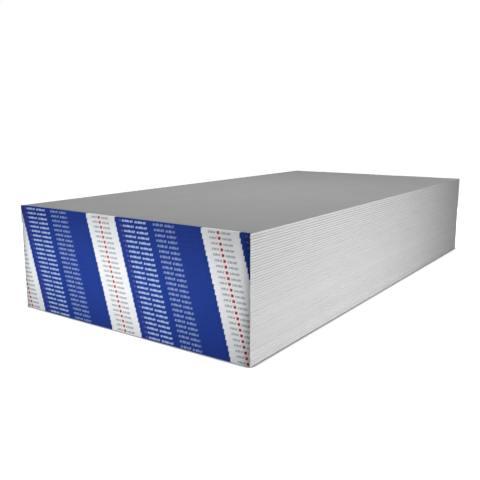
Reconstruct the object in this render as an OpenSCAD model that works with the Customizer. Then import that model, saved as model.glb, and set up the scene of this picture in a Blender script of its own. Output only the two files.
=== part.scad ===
// A lift of drywall: gypsum boards stacked flat in face-to-face pairs, each
// pair held together by a printed paper tape folded over both of its ends.
//
// X runs across the boards, Y along them and Z up. The origin is at the
// middle of the lift's underside.

/* [Sheet] */
// Width of one sheet, from long edge to long edge
sheet_w = 1220; // [600:10:1250]
// Length of one sheet, from cut end to cut end
sheet_l = 2440; // [1200:10:3660]
// Thickness of one sheet, paper to paper
sheet_t = 9.5; // [8:0.1:16]
// Radius of the folded paper along each long edge
fold_r = 1.5; // [0.5:0.1:3]

/* [Lift] */
// Number of taped pairs in the lift
pair_count = 24; // [1:1:29]

/* [End tape] */
// Thickness of the tape's paper
tape_t = 0.1; // [0.05:0.01:0.3]
// How far the tape laps onto each outer face of its pair
tape_lap = 12; // [6:1:40]
// Air between the tapes of neighbouring pairs
tape_air = 0.05; // [0.02:0.01:0.5]

/* [Hidden] */
$fn = 48;

// One pair stands on its lower tape lap and carries the upper one.
sheets_per_pair = 2;
pair_t = sheets_per_pair * sheet_t + 2 * tape_t;
pair_pitch = pair_t + tape_air;
sheet_count = sheets_per_pair * pair_count;

// The tape covers the flat of the faces and stops where the edges round off.
tape_w = sheet_w - 2 * fold_r;

// Sheets are numbered from the bottom: sheet_01, sheet_02 and so on.
function two_digits(n) = str(n < 10 ? "0" : "", n);
function sheet_name(i) = str("sheet_", two_digits(i + 1));
function pair_z(pair) = pair * pair_pitch;
function sheet_z(i) =
    pair_z(floor(i / sheets_per_pair)) + tape_t + (i % sheets_per_pair) * sheet_t;

// Outline of a sheet seen from its cut end: a flat bar whose four long
// arrises are rounded by the folded face paper.
module sheet_outline() {
    translate([-sheet_w / 2 + fold_r, 0])
        square([sheet_w - 2 * fold_r, sheet_t]);
    translate([-sheet_w / 2, fold_r])
        square([sheet_w, sheet_t - 2 * fold_r]);
    for (side = [-1, 1], z = [fold_r, sheet_t - fold_r])
        translate([side * (sheet_w / 2 - fold_r), z])
            circle(r = fold_r);
}

// One sheet, standing at its own height in the lift.
module sheet(i) {
    color("gainsboro")
        translate([0, 0, sheet_z(i)])
            rotate([90, 0, 0])
                linear_extrude(height = sheet_l, center = true)
                    sheet_outline();
}

// Side view of one tape, in Y and Z from the pair's lower end corner: a
// channel with its web on the cut ends and a lap on each outer face.
module tape_outline() {
    difference() {
        translate([-tape_t, 0])
            square([tape_t + tape_lap, pair_t]);
        translate([0, tape_t])
            square([2 * tape_lap, pair_t - 2 * tape_t]);
    }
}

// The tapes of every pair at the lift's front end, at -Y.
module front_end_tapes() {
    color("royalblue")
        for (pair = [0:pair_count - 1])
            translate([0, -sheet_l / 2, pair_z(pair)])
                rotate([90, 0, 90])
                    linear_extrude(height = tape_w, center = true)
                        tape_outline();
}

// The back end has the same tapes, turned half round.
module back_end_tapes() {
    rotate([0, 0, 180])
        front_end_tapes();
}

for (i = [0:sheet_count - 1])
    sheet(i);
front_end_tapes();
back_end_tapes();
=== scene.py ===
# %% [markdown]
# # A lift of drywall
#
# The object is a lift of gypsum board as it stands in a store: forty-eight sheets lying flat, two and two
# face to face, with a printed paper tape folded over both ends of every pair. It looks like a plain block,
# so all of its charm is in paper: grey liner on the top, pale face paper wrapped round the long edges, and
# the rows of print at the ends. This lesson builds each sheet and each tape as a surface worked out with
# numpy, and paints the papers with shader nodes.
#
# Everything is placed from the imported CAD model, which is loaded first and never moved.

# %% Load the frame
import math

import bpy
import numpy as np
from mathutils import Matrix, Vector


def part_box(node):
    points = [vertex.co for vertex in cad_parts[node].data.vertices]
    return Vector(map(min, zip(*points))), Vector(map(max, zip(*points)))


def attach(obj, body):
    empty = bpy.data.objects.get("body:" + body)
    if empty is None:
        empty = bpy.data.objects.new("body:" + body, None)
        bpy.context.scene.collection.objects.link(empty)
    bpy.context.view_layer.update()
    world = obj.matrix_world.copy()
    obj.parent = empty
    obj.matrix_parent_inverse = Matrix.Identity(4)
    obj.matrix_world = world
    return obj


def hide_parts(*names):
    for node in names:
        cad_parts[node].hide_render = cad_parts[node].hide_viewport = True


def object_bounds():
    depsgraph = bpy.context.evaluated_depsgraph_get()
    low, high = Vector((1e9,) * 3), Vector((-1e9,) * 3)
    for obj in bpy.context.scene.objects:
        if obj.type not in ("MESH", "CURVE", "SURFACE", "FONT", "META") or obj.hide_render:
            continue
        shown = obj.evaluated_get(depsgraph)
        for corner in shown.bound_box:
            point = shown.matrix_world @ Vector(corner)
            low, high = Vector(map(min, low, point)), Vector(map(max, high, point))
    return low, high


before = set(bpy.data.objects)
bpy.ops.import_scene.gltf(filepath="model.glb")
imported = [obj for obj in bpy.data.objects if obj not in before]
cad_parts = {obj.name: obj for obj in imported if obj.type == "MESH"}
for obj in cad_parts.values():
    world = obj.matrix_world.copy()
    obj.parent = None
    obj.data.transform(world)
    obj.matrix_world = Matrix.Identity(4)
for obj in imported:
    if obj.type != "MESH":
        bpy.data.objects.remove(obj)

cad_low, cad_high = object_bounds()
print("CAD box in metres:", [round(v, 4) for v in cad_low], [round(v, 4) for v in cad_high])

# %% [markdown]
# ## Sizes
#
# A size that the CAD model already holds is read from it and not written again. The boxes of a few nodes
# are enough here: one sheet gives the width, length and thickness, and the tapes tell how thick their paper
# is, how far they lap onto the boards and how much of the board's width they cover.

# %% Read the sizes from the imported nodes
MM = 0.001
sheet_names = sorted(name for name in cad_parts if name.startswith("sheet_"))
sheet_low, sheet_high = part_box(sheet_names[0])
tape_low, tape_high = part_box("front_end_tapes")

sheet_w = sheet_high.x - sheet_low.x
sheet_l = sheet_high.y - sheet_low.y
sheet_t = sheet_high.z - sheet_low.z
tape_w = tape_high.x - tape_low.x
tape_t = sheet_low.z - tape_low.z
tape_lap = tape_high.y - sheet_low.y
fold_r = (sheet_w - tape_w) / 2
pair_count = len(sheet_names) // 2
pair_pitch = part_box(sheet_names[2])[0].z - sheet_low.z
pair_t = 2 * sheet_t + 2 * tape_t
print(f"{len(sheet_names)} sheets of {sheet_w:.3f} x {sheet_l:.3f} x {sheet_t:.4f} m in {pair_count} pairs")
print(f"pitch {pair_pitch / MM:.2f} mm, tape {tape_t / MM:.2f} mm thick, lap {tape_lap / MM:.1f} mm")

# %% [markdown]
# ## Camera
#
# The lift is seen from beyond its right front corner, a little above the top, with a lens slightly longer
# than the eye's own. The place and the two angles are easier to read than a rotation matrix: the camera is
# first level and looking along +Y, then it turns left and tips down.

# %% Set up the camera
camera_data = bpy.data.cameras.new("camera")
camera_data.lens = 44.85
camera_data.sensor_width = 36.0
camera = bpy.data.objects.new("camera", camera_data)
camera.location = (1.678, -2.805, 0.812)
turn_left = math.radians(35.01)
tip_down = math.radians(10.97)
camera.rotation_euler = (math.pi / 2 - tip_down, 0.0, turn_left)
bpy.context.scene.collection.objects.link(camera)
bpy.context.scene.camera = camera
bpy.context.scene.view_settings.view_transform = "Standard"
print("camera stands", round(camera.location.length, 2), "m from the origin")

# %% [markdown]
# ## Light
#
# Paper has no gloss to speak of, so the light only has to give each side its own tone, and each side gets
# its own lamp. A broad lamp and a soft sun stand overhead. The printed end has a long low lamp close in
# front of it, which makes it brightest along its middle. The right side's panel stands opposite its middle
# and is turned towards the near end, so that the side fades towards the far one. The back and the left side
# have a panel each, because they are looked at too.
#
# The surroundings are white to the camera but give only a weak light. If they gave their full light, every
# side would be as bright as the top, and the block would lose its shape. Lamps are hidden from the camera
# for the same reason as in a film studio: they stand close, and a view from another side would have them in
# the way.


# %% Lamps
def add_lamp(name, kind, place, target, power):
    """A lamp at place with its beam towards target: it tips up from straight down, then turns about Z."""
    data = bpy.data.lights.new(name, kind)
    data.energy = power
    beam = np.array(target) - np.array(place)
    tip = math.acos(-beam[2] / np.linalg.norm(beam))
    turn = math.atan2(-beam[0], beam[1])
    lamp = bpy.data.objects.new(name, data)
    lamp.location = place
    lamp.rotation_euler = (tip, 0.0, turn)
    lamp.visible_camera = False
    bpy.context.scene.collection.objects.link(lamp)
    return data


def add_panel(name, place, target, width, height, power):
    """A soft light from a flat panel, whose width lies level."""
    data = add_lamp(name, "AREA", place, target, power)
    data.shape = "RECTANGLE"
    data.size = width
    data.size_y = height


top_z = cad_high.z
side_x = sheet_w / 2
end_y = sheet_l / 2
sun = add_lamp("sun", "SUN", place=(0, 0, 5), target=(0, 0, 0), power=1.6)
sun.angle = math.radians(25)

overhead_place = (0.0, -0.05, top_z + 2.2)
overhead_target = (0.0, -0.05, top_z)
add_panel("overhead", overhead_place, overhead_target, width=0.8, height=1.2, power=24)

strip_place = (-0.086, -end_y - 0.414, 0.227)
strip_target = (-0.086, -end_y, 0.227)
add_panel("end_strip", strip_place, strip_target, width=1.48, height=0.15, power=4.2)

right_place = (side_x + 2.74, 0.10, 0.32)
right_target = (side_x, -3.86, 0.32)
add_panel("right_panel", right_place, right_target, width=1.0, height=0.6, power=92)

back_place = (0.2, end_y + 2.0, 0.30)
back_target = (0.2, end_y, 0.23)
add_panel("back_panel", back_place, back_target, width=1.2, height=0.6, power=27)

left_place = (-side_x - 2.05, 0.3, 0.30)
left_target = (-side_x, 0.3, 0.23)
add_panel("left_panel", left_place, left_target, width=1.2, height=0.6, power=32)
print("lamps:", [lamp.name for lamp in bpy.data.lights])

# %% Surroundings
SKY_LIGHT = 0.06
world = bpy.data.worlds.new("surroundings")
world.use_nodes = True
world_tree = world.node_tree
weak = world_tree.nodes["Background"]
weak.inputs["Color"].default_value = (1.0, 1.0, 1.0, 1.0)
weak.inputs["Strength"].default_value = SKY_LIGHT
white = world_tree.nodes.new("ShaderNodeBackground")
white.inputs["Color"].default_value = (1.0, 1.0, 1.0, 1.0)
seen = world_tree.nodes.new("ShaderNodeLightPath")
choice = world_tree.nodes.new("ShaderNodeMixShader")
world_tree.links.new(seen.outputs["Is Camera Ray"], choice.inputs["Fac"])
world_tree.links.new(weak.outputs["Background"], choice.inputs[1])
world_tree.links.new(white.outputs["Background"], choice.inputs[2])
world_tree.links.new(choice.outputs["Shader"], world_tree.nodes["World Output"].inputs["Surface"])
bpy.context.scene.world = world
print("the surroundings give", SKY_LIGHT, "of their full light")

# %% [markdown]
# ## Mesh helpers
#
# Every piece below is a grid of points and a few blocks of faces. Blender takes such arrays whole through
# foreach_set, which is far quicker than adding vertices one by one. A face is only a run of corners, so
# squares, triangles and longer polygons can share one mesh.

# %% Turn arrays into a mesh
WAVE_COUNT = 4


def make_piece(name, points, face_blocks, materials, face_material, smooth):
    """A mesh object from points (n, 3) and blocks of faces: arrays (faces, corners) of point numbers."""
    corners = np.concatenate([block.ravel() for block in face_blocks])
    totals = np.concatenate([np.full(len(block), block.shape[1]) for block in face_blocks])
    starts = np.concatenate([[0], np.cumsum(totals)[:-1]])
    mesh = bpy.data.meshes.new(name)
    mesh.vertices.add(len(points))
    mesh.vertices.foreach_set("co", points.astype(np.float32).ravel())
    mesh.loops.add(len(corners))
    mesh.loops.foreach_set("vertex_index", corners.astype(np.int32))
    mesh.polygons.add(len(totals))
    mesh.polygons.foreach_set("loop_start", starts.astype(np.int32))
    mesh.update(calc_edges=True)
    for material in materials:
        mesh.materials.append(material)
    mesh.polygons.foreach_set("material_index", face_material.astype(np.int32))
    mesh.polygons.foreach_set("use_smooth", smooth)
    mesh.validate()
    piece = bpy.data.objects.new(name, mesh)
    bpy.context.scene.collection.objects.link(piece)
    return piece


def square_numbers(stations, around):
    """The station s and the outline point p of every square between neighbouring stations."""
    s, p = np.meshgrid(np.arange(stations - 1), np.arange(around), indexing="ij")
    return s.ravel(), p.ravel()


def swept_faces(stations, around):
    """Squares of a closed outline carried along a path. Point p at station s is number s * around + p."""
    s, p = square_numbers(stations, around)
    here = s * around + p
    beside = s * around + (p + 1) % around
    return np.stack([here, here + around, beside + around, beside], axis=-1)


def arc(centre, radius, start, end, steps):
    """Points on a circle: centre + radius * (cos a, sin a), a going evenly from start to end degrees."""
    angle = np.radians(np.linspace(start, end, steps + 1))
    return np.array(centre) + radius * np.stack([np.cos(angle), np.sin(angle)], axis=-1)


def wander(along, rng, amount, longest):
    """A slow drift: sine waves, each half as long and half as tall as the one before, with random phases."""
    halving = 2.0 ** np.arange(WAVE_COUNT)
    phases = rng.uniform(0, 2 * math.pi, WAVE_COUNT)
    waves = np.sin(2 * math.pi * along[..., None] * halving / longest + phases)
    return (waves * amount / halving).sum(axis=-1)


# %% [markdown]
# ## Shader helpers
#
# The papers are drawn with a handful of nodes that come back again and again: a noise stretched along one
# axis, a value squeezed into a range, a mix of two colours, and plain arithmetic. A short function for each
# keeps the recipes readable.


# %% Node helpers
def feed(tree, socket, value):
    """Links a socket to a node's output, or sets its own value when a plain number or colour is given."""
    if isinstance(value, bpy.types.NodeSocket):
        tree.links.new(value, socket)
    else:
        socket.default_value = value


def noise(tree, scale, stretch=(1, 1, 1), detail=3.0, roughness=0.5):
    """Noise on the object's own metres, from about 0.2 to 0.8. A stretch under 1 draws it out that way."""
    place = tree.nodes.new("ShaderNodeTexCoord")
    mapping = tree.nodes.new("ShaderNodeMapping")
    mapping.inputs["Scale"].default_value = stretch
    tree.links.new(place.outputs["Object"], mapping.inputs["Vector"])
    cloud = tree.nodes.new("ShaderNodeTexNoise")
    cloud.inputs["Scale"].default_value = scale
    cloud.inputs["Detail"].default_value = detail
    cloud.inputs["Roughness"].default_value = roughness
    tree.links.new(mapping.outputs["Vector"], cloud.inputs["Vector"])
    return cloud.outputs["Fac"]


def squeeze(tree, value, low, high, to_low=0.0, to_high=1.0):
    """Maps low..high to to_low..to_high in a straight line and holds the ends."""
    ranger = tree.nodes.new("ShaderNodeMapRange")
    feed(tree, ranger.inputs["Value"], value)
    ranger.inputs["From Min"].default_value = low
    ranger.inputs["From Max"].default_value = high
    ranger.inputs["To Min"].default_value = to_low
    ranger.inputs["To Max"].default_value = to_high
    return ranger.outputs["Result"]


def mix(tree, factor, first, second, blend="MIX"):
    """A colour between first (factor 0) and second (factor 1)."""
    mixer = tree.nodes.new("ShaderNodeMix")
    mixer.data_type = "RGBA"
    mixer.blend_type = blend
    feed(tree, mixer.inputs["Factor"], factor)
    feed(tree, mixer.inputs[6], first)
    feed(tree, mixer.inputs[7], second)
    return mixer.outputs[2]


def maths(tree, operation, *values):
    """One arithmetic step on sockets or plain numbers."""
    step = tree.nodes.new("ShaderNodeMath")
    step.operation = operation
    for socket, value in zip(step.inputs, values):
        feed(tree, socket, value)
    return step.outputs[0]


def stain(tree, colour, where, strength, laid_over):
    """A second colour laid over the first. Where is a pattern from 0 to 1, strength how much a 1 covers."""
    return mix(tree, maths(tree, "MULTIPLY", where, strength), colour, laid_over)


def grey(level):
    """A neutral colour of that level."""
    return (level, level, level, 1.0)


def new_paper(name):
    """An empty matt material, its node tree and its main shader."""
    material = bpy.data.materials.new(name)
    material.use_nodes = True
    shader = material.node_tree.nodes["Principled BSDF"]
    shader.inputs["Specular IOR Level"].default_value = 0.25
    return material, material.node_tree, shader


def emboss(tree, shader, height, depth):
    """Bumps the shader's normal by a pattern of heights, where a height of 1 stands for depth metres."""
    bump = tree.nodes.new("ShaderNodeBump")
    bump.inputs["Strength"].default_value = 1.0
    bump.inputs["Distance"].default_value = depth
    feed(tree, bump.inputs["Height"], height)
    tree.links.new(bump.outputs["Normal"], shader.inputs["Normal"])


# %% [markdown]
# ## Floor
#
# The floor belongs to the stage and not to the object. It is one big pale square, which glows a little, as
# a light table does, so that it stays white out to the horizon. It throws no light back onto the lift,
# because a floor this bright would fill in every shadow from below.
#
# Lamps on all sides leave no shadow, and without one a block seems to float. So a contact shadow is painted
# on the floor: the Ambient Occlusion node measures how much of the sky is hidden by things within reach, and
# where much is hidden the floor's colour and glow are darkened into a thin dark line round the block.

# %% Make the floor
FLOOR_REACH = 60.0
CONTACT_REACH = 0.025
FLOOR_GLOW = 0.55
floor_material, floor_tree, floor_shader = new_paper("studio_floor")
floor_tone = mix(floor_tree, noise(floor_tree, 0.8), grey(0.88), grey(0.92))
sky = floor_tree.nodes.new("ShaderNodeAmbientOcclusion")
sky.inputs["Distance"].default_value = CONTACT_REACH
outside_painted_shadow = squeeze(floor_tree, sky.outputs["AO"], 0.5, 0.95)
# Painted contact shadow: where the sky is hidden the floor's colour goes towards grey 0.12 and its glow goes
# out.
floor_tree.links.new(mix(floor_tree, outside_painted_shadow, grey(0.12), floor_tone), floor_shader.inputs["Base Color"])
floor_tree.links.new(mix(floor_tree, outside_painted_shadow, grey(0.0), grey(1.0)), floor_shader.inputs["Emission Color"])
floor_shader.inputs["Roughness"].default_value = 0.9
floor_shader.inputs["Emission Strength"].default_value = FLOOR_GLOW
floor_corners = np.array([(-1, -1, 0), (1, -1, 0), (1, 1, 0), (-1, 1, 0)])
floor_points = floor_corners * FLOOR_REACH + np.array([0, 0, cad_low.z])
floor_faces = [np.array([[0, 1, 2, 3]])]
floor = make_piece("floor", floor_points, floor_faces, [floor_material], np.zeros(1), [False])
floor.visible_diffuse = False
print("the floor reaches", FLOOR_REACH, "m to each side")

# %% [markdown]
# ## Papers of the board
#
# A board wears two papers. The face paper is pale and smooth, and the mill folds it round both long edges.
# The grey liner on the back is made of recycled fibre: it is cloudy, streaked along the board, and full of
# small flecks. The long fibres of both lie along the board, the way the paper ran through the machine, so
# the noise is stretched along Y. The long edges are what a board slides and knocks on, so the face paper is
# a little rubbed there. The cut ends behind the tapes are bare gypsum, white and full of pin-holes.
#
# Sheets come off the line in slightly different shades. Each sheet carries its own shade as a number on its
# points, called "tone", which the papers read. A second number on the points says how much painted shade
# darkens the rounded arrises. They sit in the groove between two boards, and the face paper there is painted
# darker to stand for the shade in the groove. This painted shade is strongest near the top of the lift and
# fades towards its bottom.

# %% The three finishes of a sheet
ALONG = (1.0, 0.06, 1.0)
SHORT_SCUFF = (1.0, 0.15, 1.0)
CHALK = (0.76, 0.755, 0.74, 1.0)
SOLID_MIDDLE = 0.6


def first_channel(tree, colour):
    """The first part of a colour as a plain value."""
    parts = tree.nodes.new("ShaderNodeSeparateColor")
    tree.links.new(colour, parts.inputs["Color"])
    return parts.outputs[0]


def flecks(tree, spacing, radius, share):
    """Specks of stray fibre: 1 inside round dots of that radius, in a share of the cells of that spacing."""
    place = tree.nodes.new("ShaderNodeTexCoord")
    cells = tree.nodes.new("ShaderNodeTexVoronoi")
    cells.inputs["Scale"].default_value = 1.0 / spacing
    tree.links.new(place.outputs["Object"], cells.inputs["Vector"])
    picked = maths(tree, "LESS_THAN", first_channel(tree, cells.outputs["Color"]), share)
    rim = radius / spacing
    near = squeeze(tree, cells.outputs["Distance"], SOLID_MIDDLE * rim, rim, 1.0, 0.0)
    return maths(tree, "MULTIPLY", picked, near)


def point_value(tree, name):
    """A number that a sheet carries on its points, from 0 to 1."""
    reader = tree.nodes.new("ShaderNodeAttribute")
    reader.attribute_name = name
    return reader.outputs["Fac"]


def make_face_paper():
    """Pale paper round the long edges: each sheet's shade, streaks, rubbed places, scuffs, clouds, flecks,
    and painted shade in the grooves.
    """
    material, tree, shader = new_paper("face_paper")
    colour = mix(tree, point_value(tree, "tone"), grey(0.728), grey(0.762))
    streaks = squeeze(tree, noise(tree, 260, ALONG), 0.3, 0.7)
    colour = stain(tree, colour, streaks, 0.09, grey(0.45))
    rubs = squeeze(tree, noise(tree, 75, ALONG, detail=5.0, roughness=0.6), 0.56, 0.70)
    colour = stain(tree, colour, rubs, 0.24, grey(0.46))
    scuffs = squeeze(tree, noise(tree, 330, SHORT_SCUFF, detail=4.0, roughness=0.6), 0.63, 0.70)
    colour = stain(tree, colour, scuffs, 0.34, grey(0.42))
    clouds = squeeze(tree, noise(tree, 9), 0.35, 0.65)
    colour = stain(tree, colour, clouds, 0.06, grey(0.60))
    specks = flecks(tree, spacing=0.007, radius=0.0006, share=0.25)
    colour = stain(tree, colour, specks, 0.45, grey(0.30))
    # Painted shade: the arrises in the grooves between boards are darkened towards grey 0.15, by the number
    # on the points.
    colour = mix(tree, point_value(tree, "painted_groove_shade"), colour, grey(0.15))
    tree.links.new(colour, shader.inputs["Base Color"])
    tree.links.new(squeeze(tree, streaks, 0.0, 1.0, 0.62, 0.72), shader.inputs["Roughness"])
    fibres = noise(tree, 1400, (1.0, 0.25, 1.0), detail=2.0)
    emboss(tree, shader, fibres, depth=0.00004)
    return material


def make_back_liner():
    """Grey recycled liner: clouds, streaks along the board, a coarse felt, dark flecks and pale flecks."""
    material, tree, shader = new_paper("back_liner")
    colour = mix(tree, point_value(tree, "tone"), grey(0.362), grey(0.386))
    clouds = squeeze(tree, noise(tree, 5, detail=5.0), 0.3, 0.7)
    colour = stain(tree, colour, clouds, 0.16, grey(0.27))
    streaks = squeeze(tree, noise(tree, 70, ALONG, detail=5.0), 0.3, 0.7)
    colour = stain(tree, colour, streaks, 0.14, grey(0.25))
    felt = noise(tree, 900, (1.0, 0.35, 1.0), detail=4.0, roughness=0.65)
    colour = mix(tree, squeeze(tree, felt, 0.35, 0.65, 0.0, 0.10), colour, grey(0.20))
    dark_flecks = flecks(tree, spacing=0.009, radius=0.0009, share=0.30)
    colour = stain(tree, colour, dark_flecks, 0.50, grey(0.16))
    pale_flecks = flecks(tree, spacing=0.013, radius=0.0012, share=0.25)
    colour = stain(tree, colour, pale_flecks, 0.45, grey(0.55))
    tree.links.new(colour, shader.inputs["Base Color"])
    tree.links.new(squeeze(tree, felt, 0.3, 0.7, 0.78, 0.92), shader.inputs["Roughness"])
    emboss(tree, shader, felt, depth=0.00010)
    return material


def make_gypsum():
    """The set gypsum of a cut end: chalky white crumbs, with pores that lie deeper and are painted darker as
    their shade.
    """
    material, tree, shader = new_paper("gypsum_core")
    pores = flecks(tree, spacing=0.0016, radius=0.0005, share=0.6)
    crumbs = noise(tree, 700, detail=4.0)
    colour = mix(tree, squeeze(tree, crumbs, 0.3, 0.7), grey(0.66), CHALK)
    # Painted shade in the pores: they are darkened towards grey 0.42.
    colour = mix(tree, pores, colour, grey(0.42))
    tree.links.new(colour, shader.inputs["Base Color"])
    tree.links.new(squeeze(tree, crumbs, 0.3, 0.7, 0.85, 0.95), shader.inputs["Roughness"])
    emboss(tree, shader, maths(tree, "SUBTRACT", crumbs, pores), depth=0.0003)
    return material


face_paper = make_face_paper()
back_liner = make_back_liner()
gypsum_core = make_gypsum()
print("papers ready:", face_paper.name, back_liner.name, gypsum_core.name)

# %% [markdown]
# ## One sheet
#
# A sheet is its outline, seen from the cut end, carried along the board. The outline is a flat bar whose
# four arrises are rounded, because paper doesn't fold sharply. A real edge is never quite straight, so both
# long edges wander by about a tenth of a millimetre, and every pair lies a little to the left or right of
# its neighbours. The rounded arrises make the grooves whose shadows run along the long side, and painted
# shade on the arrises deepens them.
#
# The faces of a pair touch, so they stay flat. Only the back has a faint swell. At the cut ends the back's
# edge is crushed round where the tape folds over it.

# %% The outline of a sheet
ARC_STEPS = 4
FACE_STEPS = 24
SIDE_STEPS = 2
HOLD = 0.6 * MM
CORNER_POINTS = SIDE_STEPS + ARC_STEPS + 1


def half_outline():
    """The lower half of the outline: down the left side, round the arris, along the face and up again."""
    reach = sheet_w / 2 - fold_r
    side_z = np.linspace(sheet_t / 2, fold_r, SIDE_STEPS + 1)[:-1]
    side = np.stack([np.full(SIDE_STEPS, -sheet_w / 2), side_z], axis=-1)
    corner = arc((-reach, fold_r), fold_r, 180, 270, ARC_STEPS)
    inner_x = np.linspace(-reach, reach, FACE_STEPS + 1)[1:-1]
    flat_x = np.concatenate([[-reach + HOLD], inner_x, [reach - HOLD]])
    flat = np.stack([flat_x, np.zeros_like(flat_x)], axis=-1)
    mirror = np.array([-1.0, 1.0])
    return np.concatenate([side, corner, flat, corner[::-1] * mirror, side[::-1] * mirror])


def sheet_outline():
    """The whole outline, as (x, height) points running anticlockwise from mid-left past the lower face."""
    lower = half_outline()
    upper = lower[-2:0:-1] * np.array([1.0, -1.0]) + np.array([0.0, sheet_t])
    return np.concatenate([lower, upper])


outline = sheet_outline()
half_count = len(half_outline()) - 1
from_flat = np.maximum(fold_r - outline[:, 1], outline[:, 1] - (sheet_t - fold_r))
at_edge = abs(outline[:, 0]) > sheet_w / 2 - fold_r - HOLD / 2
# How deep in the groove a point lies, which sets where painted shade darkens the arrises.
groove_shade_mask = np.where(at_edge, np.clip(from_flat / fold_r, 0, 1), 0.0)
print("a sheet's outline has", len(outline), "points")

# %% The surface of a sheet
STATIONS = 49
EDGE_WANDER = 0.08 * MM
BACK_SWELL = 0.05 * MM
PAIR_SHIFT = 0.15 * MM
CRUSH = 0.35 * MM
LEFT_WAVE = 1.3
RIGHT_WAVE = 1.1
SWELL_WAVE = 0.9
SWELL_SKEW = 0.7
SWELL_FADE = 0.05
HAIR = 1e-6


def sheet_points(bottom_z, back_up, shift, rng):
    """Point (station, outline point): x drifts with its nearer edge, and z rises by the swell on the back."""
    inner = np.linspace(-sheet_l / 2 + CRUSH, sheet_l / 2 - CRUSH, STATIONS)
    y = np.concatenate([[-sheet_l / 2], inner, [sheet_l / 2]])[:, None]
    x, height = outline[None, :, 0], outline[None, :, 1]
    left = wander(y, rng, EDGE_WANDER, LEFT_WAVE)
    right = wander(y, rng, EDGE_WANDER, RIGHT_WAVE)
    share = x / (sheet_w / 2)
    drift = np.where(share > 0, right * share, -left * share)
    on_back = height > sheet_t - HAIR if back_up else height < HAIR
    swell = wander(y + SWELL_SKEW * x, rng, BACK_SWELL / 2, SWELL_WAVE)
    off_ends = np.clip((sheet_l / 2 - abs(y)) / SWELL_FADE - 0.5, 0, 1)
    off_edges = np.clip((1 - abs(share)) / SWELL_FADE, 0, 1)
    z = height + np.where(on_back, swell * (off_ends * off_edges), 0.0)
    at_end = abs(y) > sheet_l / 2 - CRUSH / 2
    crushed = np.minimum(z, sheet_t - CRUSH) if back_up else np.maximum(z, CRUSH)
    z = np.where(at_end, crushed, z)
    grid = np.broadcast_arrays(x + shift + drift, y, z + bottom_z)
    return np.stack(grid, axis=-1).reshape(-1, 3)


def cap_faces(first, towards_front):
    """Faces across a cut end: a polygon round each long edge, and squares between them from bottom to top."""
    around = 2 * half_count
    low = np.arange(CORNER_POINTS, half_count - CORNER_POINTS)
    squares = np.stack([low, low + 1, around - low - 1, around - low], axis=-1)
    left = np.concatenate([np.arange(CORNER_POINTS + 1), np.arange(around - CORNER_POINTS, around)])
    right = np.arange(half_count - CORNER_POINTS, half_count + CORNER_POINTS + 1)
    blocks = [squares, np.stack([left, right])]
    if not towards_front:
        blocks = [block[:, ::-1] for block in blocks]
    return [block + first for block in blocks]


# %% [markdown]
# ## Where a board lies in its image
#
# When the model leaves Blender, the node papers are baked into one image for each piece, and a second UV
# map says where every face lies in that image. Left to itself, Blender would give nearly all of the image
# to the wide faces, most of which are hidden in the lift. So the board is rolled out flat like a cylinder,
# and its narrow edges, which are what one sees, are drawn many times enlarged. The map has the name OFBake.

# %% Roll a board out flat
EDGE_ZOOM = 12.0
CAP_BAND = 0.03
NEAR_EDGE = 0.1
FAR_EDGE = 0.9
outline_count = len(outline)
station_count = STATIONS + 2
skin = swept_faces(station_count, outline_count)
caps = cap_faces(0, True) + cap_faces((station_count - 1) * outline_count, False)
cap_total = sum(len(block) for block in caps)


def board_layout():
    """U runs along the board, V round the outline with its edges enlarged. Cut ends share a band on top."""
    run = np.linalg.norm(np.roll(outline, -1, axis=0) - outline, axis=-1)
    narrow = at_edge & np.roll(at_edge, -1)
    girth = np.concatenate([[0.0], np.cumsum(run * np.where(narrow, EDGE_ZOOM, 1.0))])
    girth *= (1 - CAP_BAND) / girth[-1]
    along = np.linspace(0, 1, station_count)
    s, p = square_numbers(station_count, outline_count)
    skin_u = along[np.stack([s, s + 1, s + 1, s], axis=-1)]
    skin_v = girth[np.stack([p, p, p + 1, p + 1], axis=-1)]
    corner = np.concatenate([block.ravel() for block in caps]) % outline_count
    cap_u = np.minimum(corner, outline_count - corner) / half_count
    cap_v = 1 - CAP_BAND * np.where(corner > half_count, NEAR_EDGE, FAR_EDGE)
    return np.concatenate([skin_u.ravel(), cap_u]), np.concatenate([skin_v.ravel(), cap_v])


layout_u, layout_v = board_layout()
print("a board's layout has", len(layout_u), "corners")

# %% Build all the pairs
CORE, FACE, BACK = 0, 1, 2
BOARD_JITTER = 0.05 * MM
# How dark the painted groove shade is at the bottom and at the top of the lift, and the lowest share of the
# lift where it stays least.
LOW_GROOVE_SHADE = 0.15
TOP_GROOVE_SHADE = 0.80
FADED_SHARE = 0.25
SHIFT_SEED = 11
FIRST_BOARD_SEED = 100
pair_shifts = np.random.default_rng(SHIFT_SEED).uniform(-PAIR_SHIFT, PAIR_SHIFT, pair_count)


def write_points(piece, name, values):
    """One number for every point of a piece, which its material reads by that name."""
    layer = piece.data.attributes.new(name, "FLOAT", "POINT")
    layer.data.foreach_set("value", values.astype(np.float32))


def write_map(piece, name, u, v):
    """A UV map of that name, with u and v for every corner of every face."""
    layer = piece.data.uv_layers.new(name=name)
    layer.data.foreach_set("uv", np.stack([u, v], axis=-1).astype(np.float32).ravel())


def board_materials(back_up):
    """The material number of every face: liner on one wide face, face paper on the rest, core at the ends."""
    is_back = abs(outline[:, 1] - (sheet_t if back_up else 0.0)) < HAIR
    back_run = is_back & np.roll(is_back, -1)
    wrap = np.tile(np.where(back_run, BACK, FACE), station_count - 1)
    return np.concatenate([wrap, np.full(cap_total, CORE)])


def groove_shade(pair):
    """How strong the painted shade in a pair's grooves is: least in the lowest part of the lift, rising
    smoothly to the top.
    """
    rise = np.clip((pair / (pair_count - 1) - FADED_SHARE) / (1 - FADED_SHARE), 0, 1)
    return LOW_GROOVE_SHADE + (TOP_GROOVE_SHADE - LOW_GROOVE_SHADE) * rise ** 2 * (3 - 2 * rise)


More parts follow.
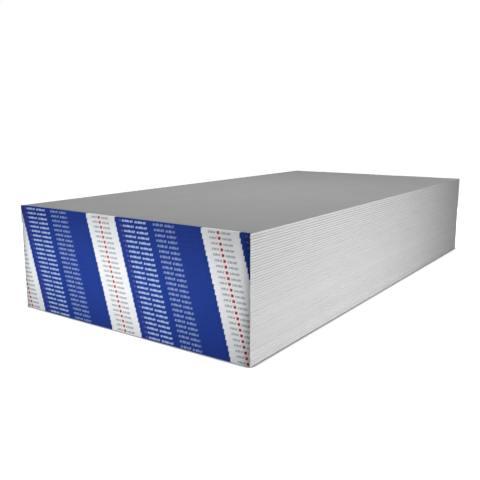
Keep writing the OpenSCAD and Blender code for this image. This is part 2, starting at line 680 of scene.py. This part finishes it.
def make_pair(pair):
    """Two boards face to face as one piece. The lower one has its back down, the upper one its back up."""
    names = sheet_names[2 * pair:2 * pair + 2]
    points, blocks, tones = [], [], []
    for upper, name in enumerate(names):
        rng = np.random.default_rng(FIRST_BOARD_SEED + 2 * pair + upper)
        shift = pair_shifts[pair] + rng.uniform(-BOARD_JITTER, BOARD_JITTER)
        points.append(sheet_points(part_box(name)[0].z, upper == 1, shift, rng))
        blocks += [block + upper * len(points[0]) for block in [skin] + caps]
        tones.append(np.full(len(points[0]), rng.uniform(0, 1)))
    face_material = np.concatenate([board_materials(False), board_materials(True)])
    smooth = np.tile(np.concatenate([np.ones(len(skin), bool), np.zeros(cap_total, bool)]), 2)
    materials = [gypsum_core, face_paper, back_liner]
    points = np.concatenate(points)
    piece = make_piece(f"pair_{pair + 1:02d}", points, blocks, materials, face_material, smooth)
    write_points(piece, "tone", np.concatenate(tones))
    # Painted shade on the arrises in the grooves, by how deep in the groove a point lies and how high its
    # pair is.
    write_points(piece, "painted_groove_shade", np.tile(groove_shade_mask * groove_shade(pair), 2 * station_count))
    write_map(piece, "OFBake", np.tile(layout_u, 2), np.concatenate([layout_v, 1 + layout_v]) / 2)
    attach(piece, "root")
    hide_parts(*names)
    return piece


pairs = [make_pair(pair) for pair in range(pair_count)]
print(len(pairs), "pairs with", len(pairs[0].data.polygons), "faces each")

# %% [markdown]
# ## The printed tape
#
# The tape that ties a pair is a strip of white paper printed in blue from a roll. It starts on the back of
# the lower board, folds round the cut ends and finishes on the back of the upper board. The print repeats
# along the roll, and each tape is cut from the roll a little later than the one above it, so the bands of
# the whole stack step sideways from row to row.
#
# The shape is an outline in Y and Z, carried along X. Over the ends the paper is glued to two boards, and
# it lies a hair closer to them at their edges than at their middles. The print needs its own measure, so
# the tape gets a UV map in metres: U runs along the roll and V up from the middle of the web.

# %% The shape of one tape
BEND_R = CRUSH + tape_t
BEND_STEPS = 4
WEB_STEPS = 12
LAP_STEPS = 3
PILLOW = 0.06 * MM
TAPE_STATIONS = 31


def tape_path(offset):
    """A line offset inwards from the tape's outer skin, from lap to lap, as (depth into the lift, height)."""
    radius = BEND_R - offset
    lap_depth = np.linspace(tape_lap, BEND_R - tape_t, LAP_STEPS + 1)[:-1]
    lap_line = np.stack([lap_depth, np.full(LAP_STEPS, offset)], axis=-1)
    bend = arc((BEND_R - tape_t, BEND_R), radius, 270, 180, BEND_STEPS)
    rise = np.linspace(BEND_R, pair_t - BEND_R, WEB_STEPS + 1)[1:-1]
    bulge = PILLOW * np.sin(2 * math.pi * rise / pair_t) ** 2
    web = np.stack([offset - tape_t - bulge, rise], axis=-1)
    mirror = np.array([1.0, -1.0])
    top = np.concatenate([lap_line, bend])[::-1] * mirror + np.array([0.0, pair_t])
    return np.concatenate([lap_line, bend, web, top])


outer_path = tape_path(0.0)
inner_path = tape_path(tape_t)
path_steps = np.linalg.norm(np.diff(outer_path, axis=0), axis=-1)
outer_v = np.concatenate([[0.0], np.cumsum(path_steps)])
outer_v -= outer_v[-1] / 2
tape_outline = np.concatenate([outer_path, inner_path[::-1]])
print("a tape is", round(2 * outer_v[-1] / MM, 1), "mm wide before it is folded")

# %% The surface of one tape
ROLL_STEP = 5.43 * MM
ROLL_START = -0.5 * MM
ROLL_JITTER = 0.7 * MM
LAP_WANDER = 0.35 * MM
LAP_WAVE = 0.8
CUT_JITTER = 0.5 * MM


def tape_points(pair, rng):
    """Point (station, outline point): x along the tape, depth and height from the outline, laps uneven."""
    ends = rng.uniform(-1, 1, 2) * CUT_JITTER
    x = np.linspace(-tape_w / 2 + ends[0], tape_w / 2 + ends[1], TAPE_STATIONS)[:, None]
    depth, height = tape_outline[None, :, 0], tape_outline[None, :, 1]
    lap_share = np.clip(depth / tape_lap, 0, 1) ** 3
    depth = depth + lap_share * wander(x, rng, LAP_WANDER, LAP_WAVE)
    grid = np.broadcast_arrays(x, depth - sheet_l / 2, height + pair * pair_pitch)
    return np.stack(grid, axis=-1).reshape(-1, 3), x[:, 0]


tape_around = len(tape_outline)
path_count = len(outer_path)
outer_edge = np.arange(path_count - 1)
inner_edge = tape_around - 1 - outer_edge
tape_skin = swept_faces(TAPE_STATIONS, tape_around)
tape_cut = np.stack([outer_edge, outer_edge + 1, inner_edge - 1, inner_edge], axis=-1)
tape_blocks = [tape_skin, tape_cut, tape_cut[:, ::-1] + (TAPE_STATIONS - 1) * tape_around]
print("one tape has", sum(len(block) for block in tape_blocks), "faces")

# %% [markdown]
# ## Where the tapes lie in their image
#
# The tapes of both ends are one piece, so they share one image, and the same thought holds: what one sees
# is the web of each tape and the laps on the top and the underside of the lift. Each web gets a row of the
# image. The seen laps get a strip each above the rows. The hidden laps, the insides and the cut edges lie
# on top of each other in the last three strips, where it does no harm.

# %% Lay the tapes out in rows
ROWS_SHARE = 0.94
STRIPS = 7
HIDDEN_LAP, INSIDE, CUT = 4, 5, 6
ROW_MARGIN = 0.05
TAPE_SEEDS = (31, 32)
first_web, last_web = LAP_STEPS, path_count - 1 - LAP_STEPS


def strip_low(number):
    """The lower edge of a strip in the image."""
    return ROWS_SHARE + (1 - ROWS_SHARE) * number / STRIPS


def tape_layout(pair, end):
    """(u, v) of every corner of one tape: u runs along the tape, v across the row or strip of its part."""
    row_tall = ROWS_SHARE / (2 * pair_count)
    strip_tall = (1 - ROWS_SHARE) / STRIPS
    lower = strip_low(end if pair == 0 else HIDDEN_LAP)
    upper = strip_low(2 + end if pair == pair_count - 1 else HIDDEN_LAP)
    row_low = (end * pair_count + pair) * row_tall
    s, p = square_numbers(TAPE_STATIONS, tape_around)
    q = np.stack([p, p, p + 1, p + 1], axis=-1)
    web_v = np.interp(q, np.arange(first_web, last_web + 1), outer_v[first_web:last_web + 1])
    web = (web_v - outer_v[first_web]) / (outer_v[last_web] - outer_v[first_web])
    parts = [p[:, None] < first_web, p[:, None] < last_web, p[:, None] < path_count - 1]
    share = np.select(parts, [q / LAP_STEPS, web, (q - last_web) / LAP_STEPS], (q - path_count + 1) % 2)
    bottom = np.select(parts, [lower, row_low, upper], strip_low(INSIDE))
    tall = np.select(parts, [strip_tall, row_tall, strip_tall], strip_tall)
    skin_v = bottom + tall * (ROW_MARGIN + (1 - 2 * ROW_MARGIN) * share)
    skin_u = np.stack([s, s + 1, s + 1, s], axis=-1) / (TAPE_STATIONS - 1)
    cut_u = np.tile([0.0, 1.0, 1.0, 0.0], 2 * len(tape_cut))
    cut_share = np.tile([NEAR_EDGE, NEAR_EDGE, FAR_EDGE, FAR_EDGE], 2 * len(tape_cut))
    cut_v = strip_low(CUT) + strip_tall * cut_share
    return np.concatenate([skin_u.ravel(), cut_u]), np.concatenate([skin_v.ravel(), cut_v])


def make_end_tapes():
    """The tapes of both ends as one piece. The map called roll holds the print's own measure in metres."""
    roll_v = np.concatenate([outer_v, outer_v[::-1]])
    point_count = TAPE_STATIONS * tape_around
    corner = np.concatenate([block.ravel() for block in tape_blocks])
    points, blocks, rolls, layouts = [], [], [], []
    for end, seed in enumerate(TAPE_SEEDS):
        rng = np.random.default_rng(seed)
        turned = np.array([1.0, 1.0, 1.0]) if end == 0 else np.array([-1.0, -1.0, 1.0])
        for pair in range(pair_count):
            grid, x = tape_points(pair, rng)
            start = -tape_w / 2 + ROLL_START + (pair_count - 1 - pair) * ROLL_STEP
            start += rng.uniform(-1, 1) * ROLL_JITTER
            points.append(grid * turned + np.array([pair_shifts[pair], 0.0, 0.0]))
            first = (end * pair_count + pair) * point_count
            blocks += [block + first for block in tape_blocks]
            roll = np.stack([np.repeat(x - start, tape_around), np.tile(roll_v, TAPE_STATIONS)], axis=-1)
            rolls.append(roll[corner])
            layouts.append(np.stack(tape_layout(pair, end), axis=-1))
    outer_face = np.arange(tape_around) < path_count - 1
    unprinted = np.concatenate([np.tile(~outer_face, TAPE_STATIONS - 1), np.ones(2 * len(tape_cut), bool)])
    rounded = np.concatenate([np.ones(len(tape_skin), bool), np.zeros(2 * len(tape_cut), bool)])
    face_material = np.tile(unprinted, 2 * pair_count)
    smooth = np.tile(rounded, 2 * pair_count)
    materials = [tape_print, tape_paper]
    points = np.concatenate(points)
    piece = make_piece("end_tapes", points, blocks, materials, face_material, smooth)
    write_map(piece, "roll", *np.concatenate(rolls).T)
    write_map(piece, "OFBake", *np.concatenate(layouts).T)
    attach(piece, "root")
    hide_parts("front_end_tapes", "back_end_tapes")
    return piece


# %% [markdown]
# ## The print
#
# The print is drawn with arithmetic on the roll's own measure. First U is wrapped into one repeat. A band
# of ink is then a comparison: 1 where U lies within so much of a middle. A run of small slanted blocks is a
# band cut into equal steps, with a hash of the step's number to make each block narrower or wider, lower or
# taller. The blocks stand where a maker would set its own words, and say nothing. The red square is the
# register mark that a packing line reads to keep its place on the roll.
#
# Ink laid on rough paper misses a speck here and there. Thin paper that is glued over a rough end cockles a
# little, so the bump holds a slow noise under the fine fibres.

# %% Ink on paper
REPEAT = 587.0 * MM
BLUE_BAND = 425.0 * MM
SLANT = 0.25
WIDTH_SPREAD = 0.14
LOWEST_BLOCK = 0.76


def band(tree, value, start, end):
    """1 between start and end, 0 elsewhere."""
    return maths(tree, "COMPARE", value, (start + end) / 2, (end - start) / 2)


def block_run(tree, u, v, start, end, step, tall, fill):
    """Slanted blocks on one base line, one to a step. A hash of the step's number sets width and height."""
    slanted = maths(tree, "SUBTRACT", u, maths(tree, "MULTIPLY", v, SLANT))
    steps_in = maths(tree, "DIVIDE", maths(tree, "SUBTRACT", slanted, start), step)
    hashed = tree.nodes.new("ShaderNodeTexWhiteNoise")
    hashed.noise_dimensions = "1D"
    tree.links.new(maths(tree, "FLOOR", steps_in), hashed.inputs["W"])
    width = squeeze(tree, hashed.outputs["Value"], 0.0, 1.0, fill - WIDTH_SPREAD, fill + WIDTH_SPREAD)
    second_hash = first_channel(tree, hashed.outputs["Color"])
    height = squeeze(tree, second_hash, 0.0, 1.0, LOWEST_BLOCK * tall, tall)
    wide_enough = maths(tree, "LESS_THAN", maths(tree, "FRACT", steps_in), width)
    above = maths(tree, "GREATER_THAN", v, -tall / 2)
    below = maths(tree, "LESS_THAN", maths(tree, "ADD", v, tall / 2), height)
    in_height = maths(tree, "MULTIPLY", above, below)
    inside = maths(tree, "MULTIPLY", band(tree, slanted, start, end), in_height)
    return maths(tree, "MULTIPLY", inside, wide_enough)


def block_words(tree, u, v, words, step, tall, fill):
    """Runs of blocks in one row. Each run's start and end, the step and the height are in millimetres."""
    total = 0.0
    for start, end in words:
        run = block_run(tree, u, v, start * MM, end * MM, step * MM, tall * MM, fill)
        total = maths(tree, "ADD", total, run)
    return total


# %% Mix the inks and print
PAPER_WHITES = ((0.815, 0.835, 0.855, 1.0), (0.860, 0.880, 0.905, 1.0))
BLUES = ((0.0075, 0.034, 0.243, 1.0), (0.0110, 0.041, 0.273, 1.0))
PALE_TINT = (0.60, 0.74, 1.0, 1.0)
LEAD_INK = (0.50, 0.22, 0.42, 1.0)
SMALL_INK = (0.15, 0.15, 0.18, 1.0)
RED_INK = (0.46, 0.006, 0.014, 1.0)
BOLD_WORDS = [(41, 96), (107, 163)]
THIN_WORDS = [(201, 249), (258, 301)]
LEAD_WORDS = [(24, 38)]
SMALL_WORDS = [(457, 487), (511, 551)]
MARK_START = 493.0 * MM
MARK_END = 504.0 * MM
MARK_HALF = 5.1 * MM
COCKLE_TO_FIBRE = 9.0


def paper_white(tree):
    """Uncoated white paper with faint clouds and fibres: its colour and the pattern of its fibres."""
    clouds = squeeze(tree, noise(tree, 40, detail=4.0), 0.3, 0.7)
    fibres = squeeze(tree, noise(tree, 1100, (0.3, 1.0, 1.0), detail=3.0), 0.35, 0.65)
    colour = mix(tree, clouds, *PAPER_WHITES)
    return stain(tree, colour, fibres, 0.05, grey(0.60)), fibres


def place_on_roll(tree):
    """U along the repeat and V up from the middle of the web, both in metres."""
    roll = tree.nodes.new("ShaderNodeUVMap")
    roll.uv_map = "roll"
    parts = tree.nodes.new("ShaderNodeSeparateXYZ")
    tree.links.new(roll.outputs["UV"], parts.inputs["Vector"])
    turns = maths(tree, "FRACT", maths(tree, "DIVIDE", parts.outputs["X"], REPEAT))
    return maths(tree, "MULTIPLY", turns, REPEAT), parts.outputs["Y"]


def make_tape_print():
    """White paper, a blue band with specks that the ink missed, rows of pale or grey blocks, a red mark."""
    material, tree, shader = new_paper("tape_print")
    u, v = place_on_roll(tree)
    paper, fibres = paper_white(tree)
    blotches = squeeze(tree, noise(tree, 160, detail=5.0), 0.3, 0.7)
    missed = flecks(tree, spacing=0.0045, radius=0.0004, share=0.35)
    blue = stain(tree, mix(tree, blotches, *BLUES), missed, 0.35, paper)
    colour = mix(tree, band(tree, u, 0.0, BLUE_BAND), paper, blue)
    pale = mix(tree, 1.0, paper, PALE_TINT, "MULTIPLY")
    bold = block_words(tree, u, v, BOLD_WORDS, step=8.4, tall=8.9, fill=0.70)
    colour = stain(tree, colour, bold, 0.95, pale)
    thin = block_words(tree, u, v, THIN_WORDS, step=7.0, tall=10.0, fill=0.50)
    colour = stain(tree, colour, thin, 0.66, pale)
    lead = block_words(tree, u, v, LEAD_WORDS, step=7.0, tall=8.0, fill=0.66)
    colour = stain(tree, colour, lead, 0.30, LEAD_INK)
    small = block_words(tree, u, v, SMALL_WORDS, step=4.4, tall=9.0, fill=0.66)
    colour = stain(tree, colour, small, 0.76, SMALL_INK)
    mark_wide = band(tree, u, MARK_START, MARK_END)
    mark = maths(tree, "MULTIPLY", mark_wide, band(tree, v, -MARK_HALF, MARK_HALF))
    colour = mix(tree, mark, colour, RED_INK)
    tree.links.new(colour, shader.inputs["Base Color"])
    tree.links.new(squeeze(tree, blotches, 0.0, 1.0, 0.66, 0.78), shader.inputs["Roughness"])
    shader.inputs["Specular IOR Level"].default_value = 0.10
    cockle = noise(tree, 38, (1.0, 1.0, 1.8), detail=2.0)
    relief = maths(tree, "MULTIPLY_ADD", cockle, COCKLE_TO_FIBRE, fibres)
    emboss(tree, shader, relief, depth=0.00003)
    return material


def make_tape_paper():
    """The unprinted side of the tape, which shows only at its cut edges."""
    material, tree, shader = new_paper("tape_paper")
    paper, fibres = paper_white(tree)
    tree.links.new(paper, shader.inputs["Base Color"])
    tree.links.new(squeeze(tree, fibres, 0.0, 1.0, 0.7, 0.85), shader.inputs["Roughness"])
    emboss(tree, shader, fibres, depth=0.00004)
    return material


tape_print = make_tape_print()
tape_paper = make_tape_paper()
end_tapes = make_end_tapes()
print("the tapes have", len(end_tapes.data.polygons), "faces")
